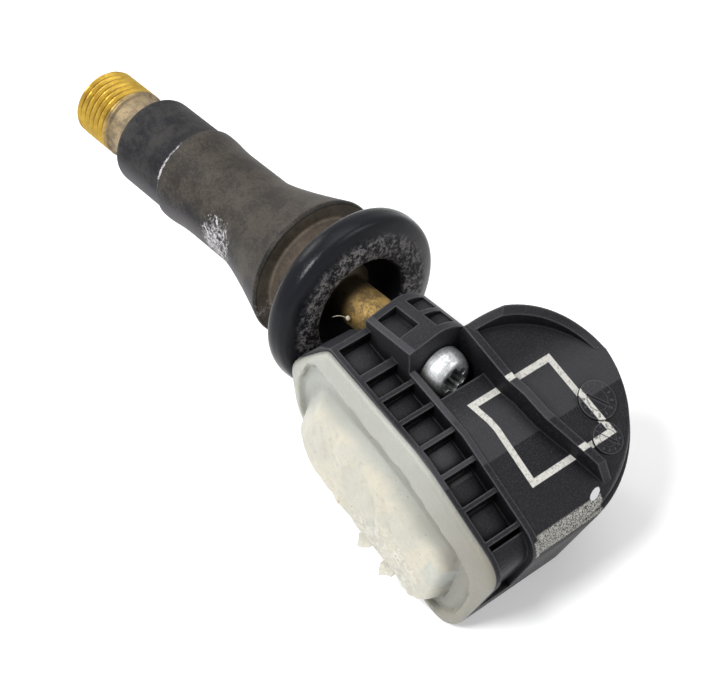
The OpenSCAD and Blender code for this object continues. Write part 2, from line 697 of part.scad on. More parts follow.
// The antenna is a bent strip that follows the housing's round back
module rf_antenna() color(COPPER) on_body() {
    gap = wall_t + 3 * ease;
    z0 = board_z - antenna_w - 0.7;
    x0 = back_x + ease;
    y0 = back_y + back_r / 3;
    leg_w = antenna_w / 2;
    intersection() {
        sweep_z(z0, board_z) difference() {
            plan_outline(gap);
            plan_outline(gap + antenna_t);
        }
        union() {
            translate([x0, y0, z0]) cube([far, far, antenna_w]);
            translate([x0, y0, z0]) cube([leg_w, far, far]);
            translate([x0, y0, z0]) cube([far, leg_w, far]);
        }
    }
}

module rf_crystal() color(ZINC) on_body()
    translate([cell_x - 5.5, inner_y + 2, board_z - 0.7]) cube([2.5, 2, 0.7]);

module chip_capacitors() color("#b59a72") on_body()
    for (i = [0:3]) translate([cell_x - 1 + i * 1.1, inner_y + 2, board_z - 0.6])
        cube([0.6, 1.1, 0.6]);

housing();
potting();
valve_rubber();
valve_stem();
mount_screw();
core_plug();
core_seal_ring();
core_barrel();
core_pin();
core_cup();
core_cup_seal();
core_spring();
circuit_board();
coin_cell();
tab_positive();
tab_negative();
sensor_chip();
inlet_seal();
lf_coil_core();
lf_coil_winding();
rf_antenna();
rf_crystal();
chip_capacitors();
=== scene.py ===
# %% [markdown]
# A tyre pressure sensor sits inside a car wheel. Its rubber valve is pulled
# through the rim hole, and a small plastic housing hangs on the inner end of
# the valve's brass stem. The solids are already made. This script loads them
# and gives each one the surface that it has on a used part: dusty rubber,
# dull brass with a real thread, grained black plastic and milky silicone.

import json
import math

import bmesh
import bpy
import numpy as np
from mathutils import Matrix, Vector, geometry, noise


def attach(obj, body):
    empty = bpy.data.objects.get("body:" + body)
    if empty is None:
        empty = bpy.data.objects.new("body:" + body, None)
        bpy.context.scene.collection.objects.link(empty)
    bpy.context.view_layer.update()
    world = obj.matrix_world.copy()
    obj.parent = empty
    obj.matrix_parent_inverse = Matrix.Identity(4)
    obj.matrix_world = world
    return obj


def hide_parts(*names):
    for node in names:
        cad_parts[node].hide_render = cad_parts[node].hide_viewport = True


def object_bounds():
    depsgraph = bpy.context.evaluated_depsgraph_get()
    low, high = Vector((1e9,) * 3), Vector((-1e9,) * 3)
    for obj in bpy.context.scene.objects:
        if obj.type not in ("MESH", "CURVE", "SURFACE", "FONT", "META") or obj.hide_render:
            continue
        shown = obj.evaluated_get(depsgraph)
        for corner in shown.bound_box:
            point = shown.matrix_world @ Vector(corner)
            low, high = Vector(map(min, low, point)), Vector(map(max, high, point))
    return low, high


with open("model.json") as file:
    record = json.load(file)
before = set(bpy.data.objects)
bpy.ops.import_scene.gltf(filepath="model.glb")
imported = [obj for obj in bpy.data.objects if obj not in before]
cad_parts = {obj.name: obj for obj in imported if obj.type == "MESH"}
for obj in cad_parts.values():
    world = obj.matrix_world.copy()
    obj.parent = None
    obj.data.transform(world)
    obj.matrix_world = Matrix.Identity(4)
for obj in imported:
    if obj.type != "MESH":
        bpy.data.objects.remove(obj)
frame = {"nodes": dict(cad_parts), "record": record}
cad_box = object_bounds()
nodes = frame["nodes"]
print(len(nodes), "solids are loaded")

# %% [markdown]
# Sizes are written in millimetres, as a maker's drawing would give them, and
# turned into metres at the last moment. Two frames are handy. Along the valve,
# a station counts from the groove that grips the rim towards the tip. The
# housing is tilted against the valve, so it has a frame of its own.

# %% Units and the two frames
MM = 0.001
VALVE_ANGLE = 24.6
SEAT_TO_BODY = 10.6
tilt = Matrix.Rotation(math.radians(VALVE_ANGLE), 4, "Y")
to_part = Matrix.Translation((SEAT_TO_BODY, 0, 0)) @ tilt


def on_valve(station, radius, angle):
    """A point about the valve axis, in metres."""
    return Vector((-station, radius * math.sin(angle), radius * math.cos(angle))) * MM


def on_body(x, y, z):
    """A point of the housing's own frame, in metres in the part's frame."""
    return (to_part @ Vector((x, y, z))) * MM


print("the housing's origin lies at", [round(v * 1000, 1) for v in on_body(0, 0, 0)], "mm")

# %% [markdown]
# The camera stands where the photographer stood. A lens of about 94 mm from
# 18 cm away gives the same slight perspective. The camera comes early, because
# everything after it is judged through it.

# %% Camera
CAMERA_AT = (108.96, -86.23, 122.54)
CAMERA_TURN = (46.561, 0.257, 50.103)
LENS = 94.12
camera_data = bpy.data.cameras.new("camera")
camera_data.lens = LENS
camera_data.sensor_width = 36
camera_data.clip_start = 0.005
camera = bpy.data.objects.new("camera", camera_data)
camera.location = Vector(CAMERA_AT) * MM
camera.rotation_euler = [math.radians(a) for a in CAMERA_TURN]
bpy.context.collection.objects.link(camera)
bpy.context.scene.camera = camera
print("camera at", CAMERA_AT, "mm with a lens of", LENS, "mm")

# %% [markdown]
# Shader maths is easier to read as a formula than as a list of nodes. The
# class below wraps a socket, and each operator adds the Math node for it. Any
# other node comes from one method, which sets the node up before it wires it.


# %% Shader helpers
SAMPLES = 6


class Wire:
    """A number that runs through a material's nodes."""

    def __init__(self, shader, socket):
        self.shader = shader
        self.socket = socket

    def maths(self, operation, *others):
        values = dict(enumerate((self, *others)))
        return self.shader.node("ShaderNodeMath", {"operation": operation}, values)

    def __add__(self, other):
        return self.maths("ADD", other)

    def __sub__(self, other):
        return self.maths("SUBTRACT", other)

    def __rsub__(self, other):
        return self.maths("MULTIPLY", -1) + other

    def __mul__(self, other):
        return self.maths("MULTIPLY", other)

    def __truediv__(self, other):
        return self.maths("DIVIDE", other)

    def __pow__(self, other):
        return self.maths("POWER", other)

    __radd__ = __add__
    __rmul__ = __mul__

    def lowest(self, other):
        return self.maths("MINIMUM", other)

    def highest(self, other):
        return self.maths("MAXIMUM", other)

    def rise(self, low, high):
        """0 below low and 1 above high, with a soft step between them."""
        settings = {"interpolation_type": "SMOOTHSTEP"}
        return self.shader.node("ShaderNodeMapRange", settings, {0: self, 1: low, 2: high})

    def inside(self, low, high, soft):
        """1 between low and high, with soft edges."""
        return self.rise(low - soft, low + soft) * self.rise(high + soft, high - soft)


class Finish:
    """A material whose nodes are added one call at a time."""

    def __init__(self, name, **constants):
        self.material = bpy.data.materials.new(name)
        self.material.use_nodes = True
        self.tree = self.material.node_tree
        self.surface = self.tree.nodes["Principled BSDF"]
        for socket, value in constants.items():
            self.surface.inputs[socket.replace("_", " ")].default_value = value

    def node(self, kind, settings=None, sockets=None, out=0):
        """Any node: its settings are set first, then its sockets are wired."""
        made = self.tree.nodes.new(kind)
        for key, value in (settings or {}).items():
            setattr(made, key, value)
        for key, value in (sockets or {}).items():
            self.plug(made.inputs[key], value)
        return Wire(self, made.outputs[out])

    def plug(self, target, value):
        """Links a wire to a socket, or sets the socket to a constant."""
        if isinstance(value, Wire):
            self.tree.links.new(value.socket, target)
        elif isinstance(value, tuple) and target.type == "RGBA":
            target.default_value = (*value[:3], 1)
        else:
            target.default_value = value

    def place(self):
        """Where a point of the surface is, in millimetres in the part's frame."""
        spot = self.node("ShaderNodeTexCoord", out=3)
        return self.node("ShaderNodeVectorMath", {"operation": "SCALE"}, {0: spot, 3: 1 / MM})

    def apart(self, vector):
        """The three numbers of a vector."""
        return [self.node("ShaderNodeSeparateXYZ", None, {0: vector}, out=i) for i in range(3)]

    def grain(self, size, detail=2, rough=0.5, seed=0):
        """Noise with features of about this size in millimetres."""
        shift = {0: self.place(), 1: (seed, seed, seed)}
        spot = self.node("ShaderNodeVectorMath", {"operation": "ADD"}, shift)
        sockets = {"Vector": spot, "Scale": 1 / size, "Detail": detail, "Roughness": rough}
        return self.node("ShaderNodeTexNoise", None, sockets)

    def mix(self, share, a, b):
        """Colour a where share is 0 and colour b where it is 1."""
        return self.node("ShaderNodeMix", {"data_type": "RGBA"}, {0: share, 6: a, 7: b}, out=2)

    def relief(self, height, depth, edge=0.0):
        """Bump of this depth in millimetres. Edge rounds the corners of the mesh."""
        sockets = {"Height": height, "Strength": 1.0, "Distance": depth * MM}
        if edge:
            sockets["Normal"] = self.bevel(edge)
        return self.node("ShaderNodeBump", None, sockets)

    def bevel(self, radius):
        """The direction that the surface would face if its corners were rounded."""
        return self.node("ShaderNodeBevel", {"samples": SAMPLES}, {"Radius": radius * MM})

    def edges(self, radius):
        """1 on corners that stick out and 0 on flat places and in recesses."""
        directions = {0: self.bevel(radius), 1: self.node("ShaderNodeNewGeometry", out=1)}
        level = self.node("ShaderNodeVectorMath", {"operation": "DOT_PRODUCT"}, directions, out=1)
        return (1 - level).rise(0.004, 0.12) * self.open_air(0.8).rise(0.5, 0.75)

    def open_air(self, reach):
        """1 in the open and less in recesses."""
        sockets = {"Distance": reach * MM}
        return self.node("ShaderNodeAmbientOcclusion", {"samples": SAMPLES}, sockets, out=1)

    def upward(self):
        """How far the surface faces up, from -1 to 1."""
        return self.apart(self.node("ShaderNodeNewGeometry", out=1))[2]

    def wire(self, **links):
        """Wires the surface's own sockets and gives the finished material."""
        for name, value in links.items():
            self.plug(self.surface.inputs[name.replace("_", " ")], value)
        return self.material


FINISHES = {}
print("the shader helpers are ready")

# %% [markdown]
# The face of the real housing has a white frame that a laser has burnt into the
# plastic. An image could hold it, but two rectangles in the housing's own
# coordinates give it sharp edges from any distance. The surface has no
# coordinates of that kind, so the first helper works them out.


# %% Laser-marked frame
def body_place(finish):
    """The housing's own x, y and z of a surface point, in millimetres."""
    x, y, z = finish.apart(finish.place())
    cos, sin = math.cos(math.radians(VALVE_ANGLE)), math.sin(math.radians(VALVE_ANGLE))
    along = x - SEAT_TO_BODY
    return along * cos - z * sin, y, along * sin + z * cos


MARK_X, MARK_Y, MARK_LINE, MARK_SOFT = (10.05, 19.65), (-0.9, 9.2), 0.66, 0.04
FAR_LEAN, NEAR_LEAN, NEAR_BEND = 0.12, 0.17, 3.4


def frame_mark(x, y):
    """1 on the frame's lines, which are what two leaning rectangles don't share."""
    # The far line leans all the way, the near line only up to the bend
    far = y - (x - MARK_X[0]) * FAR_LEAN
    near = y + 0.06 - (x - MARK_X[0]).lowest(NEAR_BEND) * NEAR_LEAN
    lean = near + (far - near) * y.rise(3, 5)
    outer = x.inside(*MARK_X, MARK_SOFT) * lean.inside(*MARK_Y, MARK_SOFT)
    inner_x = [MARK_X[0] + MARK_LINE, MARK_X[1] - MARK_LINE]
    inner_y = [MARK_Y[0] + MARK_LINE, MARK_Y[1] - MARK_LINE]
    return outer * (1 - x.inside(*inner_x, MARK_SOFT) * lean.inside(*inner_y, MARK_SOFT))


print("the frame is", round(MARK_X[1] - MARK_X[0], 2), "mm long, with lines of", MARK_LINE, "mm")

# %% [markdown]
# Two date discs are pressed into the face, each a ring in a wheel of short
# strokes. Cutting them into the mesh would cost thousands of faces, and they
# are only a tenth of a millimetre deep, so they are relief in the finish.

# %% Date discs
DISCS = [(16.15, 10.6, 2.0), (19.65, 9.2, 1.6)]


def disc_relief(x, y):
    """A ring and a wheel of ticks on each date disc."""
    height = 0
    for at_x, at_y, radius in DISCS:
        dx, dy = x - at_x, y - at_y
        away = (dx * dx + dy * dy) ** 0.5
        turn = dy.maths("ARCTAN2", dx)
        wheel = away.inside(radius * 0.66, radius * 0.86, 0.04)
        ticks = (turn * 12).maths("COSINE").rise(0.5, 0.8) * wheel
        ring = away.inside(radius * 0.52, radius * 0.58, 0.03)
        height = ticks + ring * 0.8 + height
    return height


print(len(DISCS), "date discs are drawn")

# %% [markdown]
# The housing is glass-filled nylon from a spark-eroded mould. It is a very
# dark grey with a fine grain. Its corners get a painted highlight, its
# recesses painted shade, and parts of its face a painted sheen. The first two
# come from how the surface bends and how open it lies, so they follow the
# shape without an image map.


# %% Housing plastic
def housing_plastic():
    finish = Finish("housing_plastic", IOR=1.5, Specular_IOR_Level=0.15)
    x, y, z = body_place(finish)
    etched = finish.grain(0.3, 3, 0.7, 3)
    cloud = finish.grain(5, 4, 0.6)
    fine = finish.grain(0.14, 3, 0.6, 7)
    speck = finish.grain(0.3, 3, 0.6, 17)
    up = finish.upward().rise(0.55, 0.7)
    # The plastic: dust, grain, painted sheen on the face, painted highlights on corners, painted
    # shade in recesses, specks
    dust = (cloud * fine).rise(0.2, 0.5) * 0.3
    base = finish.mix(dust, (0.005, 0.005, 0.007), (0.03, 0.03, 0.035))
    base = finish.mix(fine.rise(0.45, 0.7) * 0.5, base, (0.036, 0.036, 0.041))
    # Painted sheen and light: the face is paler on a band, towards the valve end and on one strip,
    # mostly where it faces up
    painted_face_light = x.rise(8, 12.5) * x.rise(15.66, 15.54) * up * 0.55 + x.rise(9, -1) * 0.3
    painted_face_light = painted_face_light.highest(y.inside(-3.7, -2.9, 0.15) * x.rise(12, 10) * up * 0.8)
    base = finish.mix(painted_face_light * (0.8 + fine * 0.4), base, (0.058, 0.058, 0.064))
    # Painted highlight: corners that stick out are paler
    base = finish.mix(finish.edges(0.3) * (0.3 + fine * 0.6), base, (0.12, 0.12, 0.13))
    # Painted shade: recesses darken to near black
    painted_recess_shade = finish.open_air(1.8).rise(0.8, 0.42)
    base = finish.mix(painted_recess_shade * 0.85, base, (0.003, 0.003, 0.0035))
    specks = speck.rise(0.66, 0.74) * cloud.rise(0.4, 0.6)
    base = finish.mix(specks * 0.35, base, (0.16, 0.16, 0.15))
    # The laser mark, a pale worn strip along the far edge and one pale oval near it
    worn = 0.62 + etched.rise(0.34, 0.5) * 0.38
    mark = frame_mark(x, y) * worn * up * z.rise(0.5, 1.5)
    colour = finish.mix(mark, base, finish.mix(fine, (0.74, 0.73, 0.68), (0.46, 0.45, 0.42)))
    strip = y.inside(-3.4, 5.4, 0.1) * z.inside(1.4, 2.9, 0.1) * x.rise(23.3, 23.5)
    strip = strip * finish.grain(0.13, 3, 0.7, 31).rise(0.4, 0.56)
    colour = finish.mix(strip * 0.8, colour, (0.5, 0.49, 0.45))
    along, across = (y - 4.85) - (x - 23.2) * 0.35, (x - 23.2) + (y - 4.85) * 0.35
    oval = along * along * 1.5 + across * across * 8 + etched * 0.5
    colour = finish.mix(oval.rise(1.35, 1.1) * z.rise(2, 2.4), colour, (0.6, 0.6, 0.62))
    disc = disc_relief(x, y) * up * y.rise(6, 6.5)
    colour = finish.mix(disc * 0.6, colour, (0.07, 0.07, 0.078))
    rough = 0.36 + cloud * 0.18 + mark * 0.2
    height = fine * 1.2 + cloud * 0.5 + disc * 2
    relief = finish.relief(height, 0.04, 0.2)
    return finish.wire(Base_Color=colour, Roughness=rough, Normal=relief)


FINISHES["housing_plastic"] = housing_plastic()
print("the housing plastic has", len(FINISHES["housing_plastic"].node_tree.nodes), "nodes")

# %% [markdown]
# The valve is vulcanised rubber. Where it was handled it is a shiny blue-black,
# and road dust has turned the neck and the rim groove brown. Its underside gets
# a painted sheen, the collar's back wall painted light, and the collar's edge
# and the hollow behind the flange painted shade. All of this runs round the
# valve, so the finish asks how far along the valve a point lies, how far out it
# lies, and on which side it is, where the dust settled or the sheen is painted.


# %% Rubber
def valve_place(finish):
    """The station, the radius and the y and z of a point about the valve axis."""
    x, y, z = finish.apart(finish.place())
    return -1 * x, (y * y + z * z) ** 0.5, y, z


def rubber_colour(finish, station, radius, side, noises, zones):
    """Blue-black rubber that dust has turned brown on its neck and in its groove, with painted
    sheen underneath, painted light on the collar's back wall and painted shade on its edge.
    """
    cloud, fine, speck = noises
    neck, groove = zones
    patchy = (cloud * 0.5 + speck * 0.25 + fine * 0.25).rise(0.4, 0.6)
    grey = patchy * station.rise(18, 23)
    tint = finish.mix(grey, (0.006, 0.0065, 0.0095), (0.036, 0.034, 0.033))
    brown = finish.mix(patchy, (0.026, 0.023, 0.02), (0.04, 0.034, 0.028))
    base = finish.mix(neck * (side + cloud * 0.5).rise(-0.62, -0.2), tint, brown)
    # Painted sheen: a pale bluish reflection along the underside of the neck and sleeve
    under = side.rise(-0.7, -0.97) * station.rise(1.8, 3)
    base = finish.mix(under * 0.8, base, (0.075, 0.072, 0.083))
    floor = finish.mix(patchy, (0.05, 0.04, 0.031), (0.09, 0.073, 0.056))
    base = finish.mix(groove, base, floor)
    # The collar's back wall: brown dust, painted lighter than the groove floor as painted light
    wall_dust_and_painted_light = station.inside(1.5, 2, 0.1) * radius.rise(7.4, 7.3)
    base = finish.mix(wall_dust_and_painted_light, base, finish.mix(patchy, (0.07, 0.057, 0.044), (0.13, 0.107, 0.084)))
    # Painted shade: a near-black line on the collar's edge
    rim = station.inside(1.75, 2.3, 0.08) * radius.rise(7.3, 7.45)
    base = finish.mix(rim * 0.8, base, (0.006, 0.006, 0.006))
    dusty = (cloud * 0.6 + fine * 0.5).rise(0.46, 0.72) * neck * 0.6
    return finish.mix(dusty, base, (0.085, 0.074, 0.06))


def dried_residue(finish, station, side, y, z, noises):
    """Flakes of white residue on one spot and the lower side, and a whitish line on the step that
    is partly residue and partly painted highlight.
    """
    cloud, _, speck = noises
    spot = ((station - 11.4) ** 2 * 0.1 + (z - 0.2) ** 2 * 0.1).rise(1.1, 0.2) * y.rise(-3, -4)
    low = station.inside(-1.5, 9, 1.5) * y.rise(-3.5, -5.2) * z.rise(1.5, -2.5) * 0.42
    # The step line is whitish on the step's upper edge: partly residue, partly painted highlight
    step = station.inside(21.35, 21.95, 0.1) * side.inside(-0.6, 0.3, 0.15) * z.rise(0, 1) * 1.3
    where = spot.highest(low).highest(step)
    flaky = finish.grain(0.35, 5, 0.8, 41) * 0.55 + speck * 0.25 + cloud * 0.2
    return (flaky + where * 0.1).rise(0.56, 0.64) * where.rise(0.02, 0.4)


def valve_rubber():
    finish = Finish("valve_rubber", IOR=1.5, Specular_IOR_Level=0.15)
    station, radius, y, z = valve_place(finish)
    # From -1 on the underside, clean and with a painted sheen, to 1 on the far side; dust lies on
    # the rest
    side = (y * 0.82 + z * 0.57) / radius
    cloud = finish.grain(2.6, 5, 0.65, 2)
    fine = finish.grain(0.25, 4, 0.7, 5)
    speck = finish.grain(0.6, 5, 0.75, 8)
    noises = (cloud, fine, speck)
    neck = station.inside(1.9, 21.5 + cloud * 0.4, 0.4)
    groove = station.inside(-1.75, 1.9, 0.15)
    sleeve = station.rise(21.5, 22)
    colour = rubber_colour(finish, station, radius, side, noises, (neck, groove))
    # The seat ring is peppered with grey, and the hollow behind it gets painted shade, near black
    seat = station.inside(-5.9, -4.9, 0.3) * radius.rise(8.5, 7.2) * radius.rise(5, 5.5)
    pepper = (speck * 0.6 + finish.grain(0.3, 4, 0.8, 12) * 0.4).rise(0.47, 0.57) * seat
    colour = finish.mix(pepper * (0.35 + cloud), colour, (0.24, 0.23, 0.225))
    # Painted shade: the hollow behind the seat ring is near black
    painted_hollow_shade = radius.rise(5.4, 4.9) * station.inside(-5.6, -2, 0.1)
    colour = finish.mix(painted_hollow_shade * 0.9, colour, (0.002, 0.002, 0.002))
    dried = dried_residue(finish, station, side, y, z, noises)
    colour = finish.mix(dried, colour, (0.55, 0.53, 0.55))
    rough = 0.13 + cloud * 0.12 + neck * 0.33 + seat * 0.45 + groove * 0.4 + dried * 0.3
    rough = rough + sleeve * (0.25 + fine * 0.3) + painted_hollow_shade * 0.6
    height = fine * 0.6 + speck * (neck * 0.4 + seat * 1.5 + sleeve * 0.5) + dried * 0.8
    return finish.wire(Base_Color=colour, Roughness=rough, Normal=finish.relief(height, 0.04))


FINISHES["valve_rubber"] = valve_rubber()
print("the rubber has", len(FINISHES["valve_rubber"].node_tree.nodes), "nodes")

# %% [markdown]
# The stem is turned brass. Its thread still shines, with dark roots, while the
# plain neck has gone dull and the inner end is spotted brown, with painted shade
# inside the rubber's hollow next to the flange. The roots are found by their
# radius, because the thread is a real helix in the mesh.


# %% Brass
def valve_brass():
    finish = Finish("valve_brass")
    station, radius, *_ = valve_place(finish)
    cloud = finish.grain(1.1, 5, 0.65, 1)
    fine = finish.grain(0.14, 3, 0.65, 4)
    neck = station.inside(29.5, 33 + cloud * 0.8, 0.5)
    inner = station.rise(0, -1)
    gold = finish.mix(cloud.rise(0.35, 0.7), (0.5, 0.33, 0.055), (0.37, 0.23, 0.032))
    roots = radius.rise(3.66, 3.45) * station.rise(32.8, 33.2)
    colour = finish.mix(roots, gold, (0.1, 0.055, 0.009))
    colour = finish.mix(station.rise(38.1, 38.7) * 0.75, colour, (0.2, 0.13, 0.06))
    grime = (cloud * 0.75 + fine * 0.25).rise(0.38, 0.64)
    dull = finish.mix(grime, (0.34, 0.26, 0.15), (0.15, 0.115, 0.072))
    colour = finish.mix(neck, colour, dull)
    spots = (cloud * 0.7 + fine * 0.3).rise(0.4, 0.58)
    rust_and_shade = finish.mix(spots, (0.54, 0.36, 0.125), (0.15, 0.1, 0.042))
    # Painted shade: inside the rubber's hollow, next to the flange, the inner end is near black
    rust_and_shade = finish.mix(station.rise(-6.8, -4.2), rust_and_shade, (0.05, 0.036, 0.02))
    colour = finish.mix(inner, colour, rust_and_shade)
    metal = 0.9 - neck * 0.4 - inner * grime * 0.5
    rough = 0.3 + fine * 0.16 + neck * 0.2 + inner * 0.15
    relief = finish.relief(fine + cloud * inner * 2, 0.02)
    return finish.wire(Base_Color=colour, Metallic=metal, Roughness=rough, Normal=relief)


FINISHES["valve_brass"] = valve_brass()
print("the brass is ready")

# %% [markdown]
# The screw is steel with a bright zinc coat. It mirrors the studio softly, and
# its star recess gets painted shade.


# %% Zinc
def screw_zinc():
    finish = Finish("screw_zinc", Metallic=0.8)
    fine = finish.grain(0.3, 4, 0.6, 6)
    colour = finish.mix(fine.rise(0.3, 0.7), (0.6, 0.61, 0.62), (0.34, 0.352, 0.357))
    # Painted shade: the star recess darkens
    colour = finish.mix(finish.open_air(1.5).rise(0.6, 0.3), colour, (0.1, 0.1, 0.09))
    rough, relief = 0.27 + fine * 0.25, finish.relief(fine, 0.012, 0.12)
    return finish.wire(Base_Color=colour, Roughness=rough, Normal=relief)


FINISHES["screw_zinc"] = screw_zinc()
print("the zinc is ready")

# %% [markdown]
# The potting is milky silicone gel. Light goes a little way into it, which
# subsurface scattering gives. Where the gel is thick it looks creamy, and where
# it is a thin band over the housing's lip it looks greyer.


# %% Silicone
def silicone():
    finish = Finish("silicone", IOR=1.41, Specular_IOR_Level=0.3, Subsurface_Weight=0.5,
                    Subsurface_Scale=0.0018, Subsurface_Radius=(1.0, 0.9, 0.7))
    x, y, z = body_place(finish)
    cloud = finish.grain(3.5, 4, 0.6, 9)
    fine = finish.grain(0.5, 4, 0.6, 11)
    crumb = finish.grain(0.45, 2, 0.5, 21)
    thick = y.rise(-8.9, -10.4)
    band = finish.mix(x.rise(10, 24), (0.39, 0.395, 0.36), (0.25, 0.24, 0.205))
    # Painted shade: the groove inside the band darkens where it lies in a recess
    painted_channel_shade = y.rise(-8.9, -8.65) * finish.open_air(1.6).rise(0.98, 0.8)
    band = finish.mix(painted_channel_shade * 0.7, band, (0.22, 0.22, 0.19))
    colour = finish.mix(thick, band, (0.51, 0.5, 0.435))
    colour = finish.mix(cloud.rise(0.45, 0.65) * thick * 0.7, colour, (0.6, 0.56, 0.46))
    colour = finish.mix(fine.rise(0.5, 0.72) * thick * 0.5, colour, (0.4, 0.39, 0.35))
    # A clearer patch near the far end, and a crumbly area by the tears
    clear = x.inside(19.3, 21.6, 0.15) * z.inside(-5.2, -2.6, 0.2)
    colour = finish.mix(clear * 0.5, colour, (0.42, 0.45, 0.44))
    crumbly = ((x - 15.5) ** 2 * 0.03 + (z + 7.5) ** 2 * 0.09).rise(1, 0.3)
    colour = finish.mix(crumb.rise(0.5, 0.6) * crumbly * 0.6, colour, (0.68, 0.66, 0.6))
    dirt = crumb.rise(0.72, 0.75) * cloud.rise(0.4, 0.5)
    colour = finish.mix(dirt, colour, (0.3, 0.22, 0.15))
    rough = 0.28 + cloud * 0.18 + thick * 0.12
    height = fine + cloud * 1.5 + crumb * crumbly * 3
    return finish.wire(Base_Color=colour, Roughness=rough, Normal=finish.relief(height, 0.08))


FINISHES["silicone"] = silicone()
print("the silicone is ready")

# %% [markdown]
# The pieces inside are seldom seen: the valve core at the tip, and the
# electronics only when the housing is taken apart. One colour with a fine
# mottle is enough for each. Every solid then gets the finish of its slot.


# %% Inner finishes
def plain(name, colour, rough, metal=0.0):
    """A small inner piece: one colour with a fine mottle."""
    finish = Finish(name, Metallic=metal)
    fine = finish.grain(0.4, 3, 0.6, 13)
    darker = tuple(0.75 * c for c in colour)
    mottled = finish.mix(fine, colour, darker)
    return finish.wire(Base_Color=mottled, Roughness=rough + fine * 0.1)


for row in [
    ("core_brass", (0.7, 0.52, 0.22), 0.25, 1.0),
    ("seal_light", (0.6, 0.55, 0.42), 0.4),
    ("seal_black", (0.02, 0.02, 0.02), 0.5),
    ("spring_steel", (0.6, 0.6, 0.6), 0.3, 1.0),
    ("board_green", (0.02, 0.12, 0.05), 0.35),
    ("cell_steel", (0.6, 0.61, 0.62), 0.25, 1.0),
    ("chip_black", (0.02, 0.02, 0.022), 0.5),
    ("ferrite", (0.05, 0.05, 0.055), 0.6),
    ("copper", (0.7, 0.3, 0.14), 0.3, 1.0),
    ("ceramic", (0.45, 0.36, 0.25), 0.5),
]:
    FINISHES[row[0]] = plain(*row)
slot_of = {p["node"]: p["material_slot"] for p in frame["record"]["subparts"]}
for name, obj in nodes.items():
    obj.data.materials.clear()
    obj.data.materials.append(FINISHES[slot_of[name]])
print(len(FINISHES), "finishes are made")

# %% [markdown]
# Turned and moulded round pieces are made as a profile that is swept round the
# axis. The profile is a list of corners, each with the radius that rounds it,
# so the list reads like a drawing.


# %% Profiles
def rounded(corners, steps=6):
    """The outline through (station, radius, rounding) corners, with arcs at them."""
    line = [Vector(corners[0][:2])]
    for before, here, after in zip(corners, corners[1:], corners[2:]):
        spot = Vector(here[:2])
        back = Vector(before[:2]) - spot
        ahead = Vector(after[:2]) - spot
        reach = min(here[2], back.length * 0.49, ahead.length * 0.49)
        start = spot + back.normalized() * reach
        end = spot + ahead.normalized() * reach
        for i in range(steps + 1):
            t = i / steps
            line.append(start * (1 - t) ** 2 + spot * 2 * t * (1 - t) + end * t**2)
    line.append(Vector(corners[-1][:2]))
    return line


def refined(line, longest):
    """The same outline with no stretch longer than this."""
    fine = [line[0]]
    for a, b in zip(line, line[1:]):
        pieces = max(1, math.ceil((b - a).length / longest))
        fine += [a.lerp(b, (i + 1) / pieces) for i in range(pieces)]
    return [p for i, p in enumerate(fine) if i == 0 or (p - fine[i - 1]).length > 1e-5]


print("a square corner becomes", len(rounded([(0, 0, 0), (1, 0, 0.2), (1, 1, 0)])), "points")

# %% [markdown]
# Every piece that is made here goes through one function, which welds its
# points, turns its faces outwards, shades it smooth except at sharp corners,
# and tells the frame which finish it takes and which body carries it. The lathe
# feeds it. A shape function may move each point of the profile as it turns,
# which is how the thread gets its helix.


# %% Lathe
SIDES = 144


def add_piece(name, points, faces, slot, smooth=35.0):
    """A mesh object that rides on the sensor and takes its finish from a slot."""
    mesh = bpy.data.meshes.new(name)
    mesh.from_pydata([tuple(p) for p in points], [], faces)
    mesh.validate()
    tidy = bmesh.new()
    tidy.from_mesh(mesh)
    bmesh.ops.remove_doubles(tidy, verts=tidy.verts, dist=1e-7)
    bmesh.ops.recalc_face_normals(tidy, faces=tidy.faces)
    tidy.to_mesh(mesh)
    tidy.free()
    mesh.set_sharp_from_angle(angle=math.radians(smooth))
    mesh.materials.append(FINISHES[slot])
    obj = bpy.data.objects.new(name, mesh)
    bpy.context.collection.objects.link(obj)
    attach(obj, "sensor")
    print(name, "has", len(mesh.polygons), "faces")
    return obj


def lathe(name, line, slot, shape=None):
    """Sweeps a closed outline of (station, radius) points round the valve axis."""
    points = []
    for station, radius in line:
        for i in range(SIDES):
            angle = 2 * math.pi * i / SIDES
            s, r = shape(station, radius, angle) if shape else (station, radius)
            points.append(on_valve(s, r, angle))
    faces = []
    for k in range(len(line)):
        row, above = k * SIDES, ((k + 1) % len(line)) * SIDES
        for i in range(SIDES):
            after = (i + 1) % SIDES
            faces.append((row + i, row + after, above + after, above + i))
    return add_piece(name, points, faces, slot)


print("the lathe turns in", SIDES, "steps")

# %% [markdown]
# The rubber body is moulded over the stem. The neck flares into the collar,
# the groove grips the rim, and the flange seals it from inside. The solid has
# the same stations, and this outline adds the bell of the neck and the small
# roundings that catch the light.

# %% Rubber body
COLLAR_S, FLANGE_S, FLANGE_END_S = 1.8, -1.8, -5.1
STEP_S, FRONT_S = 21.7, 29.6
SEAT_RING_S, SEAT_RING_R, HOLLOW_S, HOLLOW_R = -5.5, 7.4, -2.4, 5.2
NECK_R, SLEEVE_R, COLLAR_R, GROOVE_R, FLANGE_R, CORE_R = 5.05, 5.0, 7.65, 5.9, 9.75, 3.3
FLARE = 9.3


